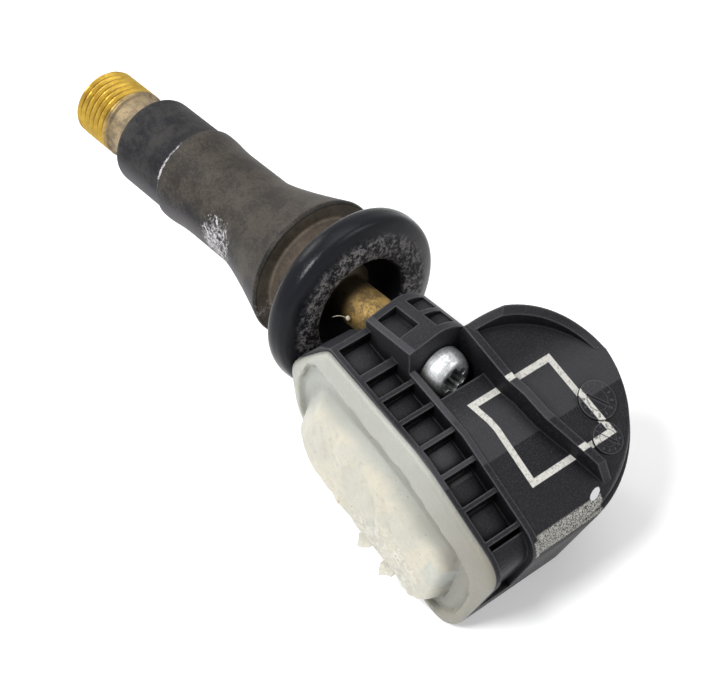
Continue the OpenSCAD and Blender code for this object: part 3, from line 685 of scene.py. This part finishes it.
def rubber_outline():
    neck_s = COLLAR_S + FLARE
    corners = [(HOLLOW_S, CORE_R, 0), (FRONT_S, CORE_R, 0)]
    corners += [(FRONT_S, SLEEVE_R, 0.8), (STEP_S + 0.1, SLEEVE_R, 0.1)]
    corners += [(STEP_S - 0.25, NECK_R + 0.27, 0.12), (STEP_S - 1.2, NECK_R + 0.27, 0.8)]
    corners += [(STEP_S - 3.6, NECK_R, 1.2)]
    for i in range(9):
        t = i / 8
        bell = NECK_R + (COLLAR_R - NECK_R) * 0.97 * t**1.25
        corners.append((neck_s - (FLARE - 0.6) * t, bell, 0.5))
    corners += [(COLLAR_S + 0.35, COLLAR_R, 0.2), (COLLAR_S, COLLAR_R - 0.15, 0.15)]
    corners += [(COLLAR_S, GROOVE_R, 0.25), (FLANGE_S, GROOVE_R, 0.25)]
    corners += [(FLANGE_S, FLANGE_R - 1.7, 0.4), (FLANGE_S - 0.75, FLANGE_R - 0.2, 0.8)]
    corners += [(FLANGE_S - 1.6, FLANGE_R, 0.4), (FLANGE_END_S + 0.35, FLANGE_R - 0.2, 0.7)]
    corners += [(FLANGE_END_S - 0.1, FLANGE_R - 1.3, 1.2)]
    corners += [(FLANGE_END_S - 0.3, SEAT_RING_R + 0.2, 0.6)]
    corners += [(SEAT_RING_S, SEAT_RING_R - 0.8, 0.6), (SEAT_RING_S + 0.1, HOLLOW_R + 0.1, 0.5)]
    corners += [(HOLLOW_S - 0.6, HOLLOW_R - 0.4, 0.3), (HOLLOW_S, HOLLOW_R - 1.2, 0.3)]
    corners += [(HOLLOW_S, CORE_R, 0)]
    return refined(rounded(corners), 0.4)


rubber = lathe("rubber_body", rubber_outline()[:-1], "valve_rubber")
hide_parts("valve_rubber")

# %% [markdown]
# The thread is the fine one that every car valve has. A bump would leave the
# outline smooth, so it is real: each point of the blank is pressed in by how
# far it is from the crest of a helix.

# %% Stem with its thread
PITCH = 0.794
THREAD_R, THREAD_DEPTH = 3.875, 0.43
THREAD_S, TIP_S = 32.9, 38.8
PLAIN_R, BASE_R, STEM_END_S = 3.475, 2.2, -14.4
PLUG_R, CORE_BORE_R, AIR_R, SCREW_R = 2.6, 2.05, 1.2, 1.45
RING_S, PLUG_END_S, CORE_ROOM_S = 31.6, 33.2, 20.7
SCREW_TIP_S = -9.4


def thread(station, radius, angle):
    """Presses the helix into the blank, fading out at both ends."""
    if radius < PLAIN_R - 0.4 or not THREAD_S - 0.3 < station < TIP_S + 0.01:
        return station, radius
    turn = (station / PITCH + angle / (2 * math.pi)) % 1
    crest = min(1, abs(2 * turn - 1) * 1.15)
    fade = min(1, max(0, (station - THREAD_S) / 0.3))
    return station, radius - THREAD_DEPTH * (1 - crest) * fade


def stem_outline():
    outer = [(STEM_END_S, SCREW_R, 0), (STEM_END_S, BASE_R, 0.15), (-2.9, BASE_R, 0.3)]
    outer += [(HOLLOW_S, CORE_R, 0.1), (FRONT_S, CORE_R, 0), (FRONT_S, PLAIN_R, 0.1)]
    outer += [(THREAD_S - 0.2, PLAIN_R, 0.1), (THREAD_S, THREAD_R, 0.05)]
    outer += [(TIP_S - 0.5, THREAD_R, 0.05), (TIP_S, THREAD_R - 0.5, 0.05)]
    bore = [(TIP_S, PLUG_R, 0.1), (PLUG_END_S, PLUG_R, 0), (RING_S, CORE_BORE_R, 0)]
    bore += [(CORE_ROOM_S, CORE_BORE_R, 0), (CORE_ROOM_S, AIR_R, 0)]
    bore += [(SCREW_TIP_S, AIR_R, 0), (SCREW_TIP_S, SCREW_R, 0), (STEM_END_S, SCREW_R, 0)]
    line = []
    drawn = rounded(outer, 3)
    for a, b in zip(drawn, drawn[1:]):
        threaded = min(a[1], b[1]) > PLAIN_R - 0.3 and min(a[0], b[0]) > THREAD_S - 0.4
        line += refined([a, b], PITCH / 12 if threaded else 1)[:-1]
    return line + rounded(bore, 3)[:-1]


stem = lathe("valve_stem_threaded", stem_outline(), "valve_brass", shape=thread)
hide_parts("valve_stem")

# %% [markdown]
# A small hole in the side of the stem lets the tyre's air in. It is drilled
# with a Boolean modifier, and the result is kept as the stem's mesh.

# %% Side hole
HOLE_AT, HOLE_R, DRILL_LONG = (7.65, 0, -2), 0.8, 4
bpy.ops.mesh.primitive_cylinder_add(vertices=32, radius=HOLE_R * MM, depth=DRILL_LONG * MM)
drill = bpy.context.object
drill.location = Vector(HOLE_AT) * MM
carve = stem.modifiers.new("side hole", "BOOLEAN")
carve.object = drill
carve.solver = "EXACT"
carved = stem.evaluated_get(bpy.context.evaluated_depsgraph_get())
stem.data = bpy.data.meshes.new_from_object(carved)
stem.modifiers.clear()
bpy.data.objects.remove(drill)
print("the stem has", len(stem.data.polygons), "faces with its side hole")

# %% [markdown]
# The potting was poured in as a liquid and has set as a soft white gel. A band
# overlaps the housing's lip, a groove runs round inside the band, and a lumpy
# mound rises over the electronics. Sculpting would give such a form, but not
# the same one each run. So it is one height map over the outline, and the
# outlines of the band, the groove and the mound are lists of corners.

# %% Potting outlines
LIP_Y, BEND, FACE_SLOPE = -8.15, (12.4, 4.4), math.tan(math.radians(7))
RIM = [(-2.15, 0.9), (-1.4, 2.4), BEND, (25, 2.85)]
RIM += [(25, -12.2), (1.5, -10.7), (-1.3, -9.2), (-4.3, -4.6)]
RIM_ROUND = [0.3, 0.6, 2, 3, 4.2, 2, 2, 1.5]
GROOVE = [(-1.5, -0.3), (1.0, 0.2), (7.5, 0.7), (12, 1.1), (17, 0.5), (21.0, 0.1)]
GROOVE += [(22.8, -0.8), (23.8, -3), (24.1, -7.5), (22.4, -10.9), (2.0, -9.8)]
GROOVE += [(-0.6, -8.6), (-2.2, -5.8), (-2.6, -3.6), (-2.4, -1.6)]
MOUND = [(0.2, -1.7), (7.3, -0.4), (14, -0.1), (20.2, -0.6), (21.4, -2.2), (22.2, -7.8)]
MOUND += [(20.6, -10.9), (2.4, -10.4), (-0.3, -8.4), (-0.5, -5)]
GROOVE_ROUND, MOUND_ROUND = 0.8, 1.2


def loop_of(corners, roundings, step=0.25):
    """A closed outline with rounded corners and a point at least every step."""
    ends = Vector(corners[-1]).lerp(Vector(corners[0]), 0.5)
    listed = [(*ends, 0)] + [(*c, r) for c, r in zip(corners, roundings)] + [(*ends, 0)]
    return np.array([tuple(p) for p in refined(rounded(listed, 10), step)[:-1]])


rim_loop = loop_of(RIM, RIM_ROUND)
groove_loop = loop_of(GROOVE, [GROOVE_ROUND] * len(GROOVE))
mound_loop = loop_of(MOUND, [MOUND_ROUND] * len(MOUND))
print("the potting's rim has", len(rim_loop), "points")

# %% [markdown]
# The height of a point follows from how far it lies inside each outline. The
# band rises in a quick curve, the groove cuts down, and the mound swells up,
# with noise for its lumps and for the torn side.


# %% Potting height
def depth_in(spots, loop):
    """How far each spot is inside the loop. It is negative outside."""
    a, b = loop, np.roll(loop, -1, axis=0)
    along = b - a
    rel = spots[:, None, :] - a[None]
    share = np.clip((rel * along).sum(2) / (along**2).sum(1), 0, 1)
    gap = np.linalg.norm(rel - share[..., None] * along, axis=2).min(axis=1)
    crossed = (a[None, :, 1] > spots[:, None, 1]) != (b[None, :, 1] > spots[:, None, 1])
    climb = np.where(along[:, 1] == 0, 1e-9, along[:, 1])
    where = a[:, 0] + along[:, 0] * (spots[:, None, 1] - a[:, 1]) / climb
    inside = (crossed & (spots[:, None, 0] < where)).sum(1) % 2 == 1
    return np.where(inside, gap, -gap)


def swell(x):
    """Rises quickly from 0 and flattens at 1."""
    return 1 - (1 - np.clip(x, 0, 1)) ** 2


def lumps_at(spots, often, high, seed):
    """Noise over the outline, from -high to high millimetres."""
    return np.array([noise.noise((x * often, z * often, seed)) * high for x, z in spots])


def potting_height(spots):
    x, z = spots.T
    edge = depth_in(spots, rim_loop)
    groove = depth_in(spots, groove_loop)
    mound = depth_in(spots, mound_loop)
    height = 0.55 * np.sqrt(swell(edge / 0.4)) + 0.28 * swell(edge / 3)
    height -= 0.46 * swell(groove / 0.3) + 0.06 * np.exp(-(((groove - 0.4) / 0.2) ** 2))
    # The mound is highest at one third of its length and lower at its upper side
    below = np.interp(x, [0, 7.3, 14, 22], [-1.6, -0.4, -0.1, -0.8]) - z
    top = 2.45 + 0.3 * np.exp(-(((x - 6.5) / 4) ** 2)) - 0.4 * swell((x - 12) / 9)
    flank = 0.5 + 0.5 * swell(below / 6)
    lumps = lumps_at(spots, 0.35, 0.2, 0) + lumps_at(spots, 1.2, 0.05, 5)
    lumps += abs(lumps_at(spots, 0.5, 0.35, 3)) * swell(mound / 2)
    torn = np.exp(-(((z + 10.2) / 1.2) ** 2)) * swell((x - 8) / 3)
    lumps += lumps_at(spots, 1.6, 0.3, 9) * torn
    wide = np.interp(x, [0, 5, 17, 21], [3.2, 1.8, 1.8, 0.9]) * (1 + 0.15 * swell((z + 6) / 4))
    share = np.clip(mound / wide, 0, 1)
    height += top * flank * (0.25 * share**2 * (3 - 2 * share) + 0.75 * swell(share))
    return height + lumps * swell(edge / 1.5) * (0.15 + 0.85 * swell(mound / 1.5))


print("the mound stands", round(float(potting_height(np.array([(8.0, -6.0)]))[0]), 1), "mm high")

# %% [markdown]
# The map becomes a mesh of triangles. Rows of points run close along the rim,
# where the band curves most, and a grid fills the rest. A plug with straight
# sides reaches into the housing, as the liquid did.

# %% Potting shell
GRID, GRID_MARGIN, RIM_ROWS = 0.28, 0.42, (0.05, 0.13, 0.26)
PLUG = [(-1.2, -0.9), (-0.6, 0.4), (12.4, 2.3), (23, 1.0), (23.7, 0)]
PLUG += [(23.7, -9), (22, -10.9), (1.6, -9.6), (-0.6, -8.2), (-3, -4.6)]
PLUG_END_Y = -5.05


def potting_shell():
    """The gel's outer side over a flat back."""
    loop = rim_loop
    xs, zs = np.arange(-4.2, 25, GRID), np.arange(-12.2, 4.4, GRID)
    grid = np.array([(x, z) for x in xs for z in zs])
    grid = grid[depth_in(grid, loop) > GRID_MARGIN]
    ahead = np.roll(loop, -1, axis=0) - np.roll(loop, 1, axis=0)
    inward = np.stack([ahead[:, 1], -ahead[:, 0]], axis=1)
    inward = inward / np.linalg.norm(ahead, axis=1)[:, None]
    if depth_in(loop[:1] + inward[:1] * 0.1, loop)[0] < 0:
        inward = -inward
    spots = np.concatenate([loop] + [loop + inward * d for d in RIM_ROWS] + [grid])
    count = len(loop)
    edges = [(i, (i + 1) % count) for i in range(count)]
    mesh = geometry.delaunay_2d_cdt([Vector(q) for q in spots], edges, [], 1, 1e-5)
    flat = np.array([tuple(q) for q in mesh[0]])
    height = potting_height(flat)
    height[depth_in(flat, loop) < 1e-4] = 0
    points = [on_body(x, LIP_Y - h, z) for (x, z), h in zip(flat, height)]
    back = tuple(int(np.argmin(((flat - q) ** 2).sum(1))) for q in loop)
    return points, [tuple(f) for f in mesh[2]] + [back]


def potting_plug(first):
    """A prism from behind the lip to its end in the housing."""
    count = len(PLUG)
    points = [on_body(x, y, z) for y in (LIP_Y - 0.1, PLUG_END_Y) for x, z in PLUG]
    faces = [tuple(range(first, first + count)), tuple(range(first + count, first + 2 * count))]
    for i in range(count):
        a, b = first + i, first + (i + 1) % count
        faces.append((a, b, b + count, a + count))
    return points, faces


points, faces = potting_shell()
more_points, more_faces = potting_plug(len(points))
points += more_points
faces += more_faces
print("the shell and its plug have", len(faces), "faces")

# %% [markdown]
# Two ragged flaps stand up where the gel was pulled off a mould. Each is a thin
# strip whose edge follows a short list of heights.

# %% Torn flaps
FLAPS = [(12.4, (0.2, 0.5, 1.0, 0.75, 0.15)), (15.9, (0.15, 0.7, 0.95, 0.4, 0.1))]
FLAP_STEP, FLAP_THICK = 0.42, 0.16
for at, height in FLAPS:
    first = len(points)
    for i, h in enumerate(height):
        for thick in (0, FLAP_THICK):
            for y in (-10.3, -10.7 - h):
                points.append(on_body(at + i * FLAP_STEP, y, -9.9 - thick - 0.2 * h))
    for i in range(len(height) - 1):
        a, b = first + 4 * i, first + 4 * i + 4
        faces += [(a, a + 1, b + 1, b), (a + 2, b + 2, b + 3, a + 3), (a + 1, a + 3, b + 3, b + 1)]
potting = add_piece("potting_gel", points, faces, "silicone", 50)
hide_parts("potting")

# %% [markdown]
# Each cell of the ladder has a slightly raised floor, which leaves a fine
# line along its walls. The ribs stand further apart from cell to cell, so the
# floors follow the same rule as the solid's ribs.

# %% Cell floors
RIB_X0, RIB_PITCH, RIB_GROWTH, RIB_T, FIRST_RIB_T = 2.7, 2.65, 0.2, 0.5, 0.85
CELL_Y = (-7.55, -3.65)
CELL_DEPTH, PAD_RISE = 1.5, 0.5
PAD_ROWS = ((0, -0.05), (0, PAD_RISE - 0.06), (0.07, PAD_RISE))


def face_z(x):
    """How high the housing's face is, which slopes down both ways from its bend."""
    return BEND[1] - FACE_SLOPE * abs(x - BEND[0])


def cell_floors():
    ribs = [RIB_X0 + RIB_PITCH * i + RIB_GROWTH * i * (i - 1) / 2 for i in range(7)]
    cells = [(-0.9, ribs[0] - FIRST_RIB_T / 2), (ribs[0] + FIRST_RIB_T / 2, ribs[1] - RIB_T / 2)]
    cells += [(a + RIB_T / 2, b - RIB_T / 2) for a, b in zip(ribs[1:], ribs[2:])]
    points, faces = [], []
    for x0, x1 in cells:
        first = len(points)
        for inset, lift in PAD_ROWS:
            near_x, far_x = x0 + 0.4 + inset, x1 - 0.12 - inset
            near_y, far_y = CELL_Y[0] + 0.15 + inset, CELL_Y[1] - 0.5 - inset
            for x, y in ((near_x, near_y), (far_x, near_y), (far_x, far_y), (near_x, far_y)):
                points.append(on_body(x, y, face_z(x) - CELL_DEPTH + lift))
        faces += [tuple(first + i for i in range(4)), tuple(first + 8 + i for i in range(4))]
        for row in (first, first + 4):
            for i in range(4):
                after = (i + 1) % 4
                faces.append((row + i, row + after, row + 4 + after, row + 4 + i))
    return points, faces


pads = add_piece("cell_floors", *cell_floors(), "housing_plastic", 60)

# %% [markdown]
# A crumb of dried sealant with a short hair sticks to the housing's valve end.
# The crumb is a ball that noise has dented, and the hair a thin bent tube.

# %% Crumb
CRUMB, CRUMB_R, CRUMB_ROWS = (-4.3, -2.45, -1.4), 0.26, 6
HAIR, HAIR_R, HAIR_BOW, HAIR_ROWS = (-1.0, -1.1, 0.1), 0.05, 0.25, 8


def crumb_and_hair():
    points, faces = [], []
    middle = on_body(*CRUMB)
    for k in range(CRUMB_ROWS + 1):
        for i in range(8):
            a, b = math.pi * k / CRUMB_ROWS, math.pi * i / 4
            way = Vector((math.sin(a) * math.cos(b), math.sin(a) * math.sin(b), math.cos(a)))
            points.append(middle + way * (CRUMB_R + 0.1 * noise.noise(way * 3)) * MM)
    for t in np.linspace(0, 1, HAIR_ROWS + 1):
        bow = Vector((0, 0, HAIR_BOW)) * MM * math.sin(3 * t)
        spot = middle + Vector(HAIR) * MM * t + bow
        for b in np.arange(8) * math.pi / 4:
            points.append(spot + Vector((math.cos(b), 0, math.sin(b))) * HAIR_R * MM)
    for k in [*range(CRUMB_ROWS), *range(CRUMB_ROWS + 1, CRUMB_ROWS + 1 + HAIR_ROWS)]:
        for i in range(8):
            row, after = 8 * k, (i + 1) % 8
            faces.append((row + i, row + after, row + 8 + after, row + 8 + i))
    return points, faces


crumb = add_piece("sealant_crumb", *crumb_and_hair(), "seal_light", 80)

# %% [markdown]
# The studio is a pale floor under four soft lamps. The key lamp stands at the
# front, a wide one hangs overhead, and two weak ones light the sides. The
# floor glows a little, so that it renders as white as the photo's background
# and still takes the shadow.

# %% Floor
FLOOR_GAP = 0.0001
low, high = cad_box
floor_z = min(low[2], high[2]) - FLOOR_GAP
bpy.ops.mesh.primitive_plane_add(size=1.6, location=(0, 0, floor_z))
floor = bpy.context.object
floor.name = "floor"
pale = Finish("floor_paint", Roughness=0.7, Base_Color=(0.8, 0.8, 0.8, 1),
              Emission_Color=(1, 1, 1, 1), Emission_Strength=0.35)
floor.data.materials.append(pale.material)
print("the floor lies", round(-floor_z / MM, 1), "mm under the valve axis")

# %% [markdown]
# Each lamp is a disc that looks at the part. A disc of this size gives soft
# shadows and one round highlight on the flange.

# %% Lamps
LAMPS = [
    # name, place in metres, width in metres, power in watts
    ("key", (0.04, -0.3, 0.4), 0.16, 2.3),
    ("overhead", (0.0, 0.08, 0.5), 0.4, 0.8),
    ("left", (-0.35, -0.1, 0.3), 0.2, 0.6),
    ("right", (0.38, 0.25, 0.3), 0.25, 0.55),
]
AIM = Vector((0.01, 0, 0))
for name, place, size, power in LAMPS:
    data = bpy.data.lights.new(name, "AREA")
    data.shape = "DISK"
    data.size = size
    data.energy = power
    obj = bpy.data.objects.new(name, data)
    obj.location = place
    obj.rotation_euler = (AIM - Vector(place)).to_track_quat("-Z", "Y").to_euler()
    bpy.context.collection.objects.link(obj)
print(len(LAMPS), "lamps are set")

# %% [markdown]
# The world is white for the camera, for reflections and through glass, so
# metal mirrors the pale background. For all other rays it is dim, so the lamps
# alone model the part. Each kind of ray adds its share to the strength.

# %% World
DIM, BRIGHT = 0.15, 1.0
world = bpy.data.worlds.new("studio")
bpy.context.scene.world = world
world.use_nodes = True
sky, wires = world.node_tree.nodes, world.node_tree.links
background = sky["Background"]
background.inputs["Color"].default_value = (1, 1, 1, 1)
rays = sky.new("ShaderNodeLightPath")
strength = None
for ray in ("Is Camera Ray", "Is Glossy Ray", "Is Transmission Ray"):
    seen = sky.new("ShaderNodeMath")
    seen.operation = "MULTIPLY_ADD"
    wires.new(rays.outputs[ray], seen.inputs[0])
    seen.inputs[1].default_value = BRIGHT - DIM
    seen.inputs[2].default_value = DIM
    if strength:
        wires.new(strength, seen.inputs[2])
    strength = seen.outputs[0]
wires.new(strength, background.inputs["Strength"])
bpy.context.scene.view_settings.view_transform = "Standard"
print("the world is", DIM, "and looks", BRIGHT, "to the camera")
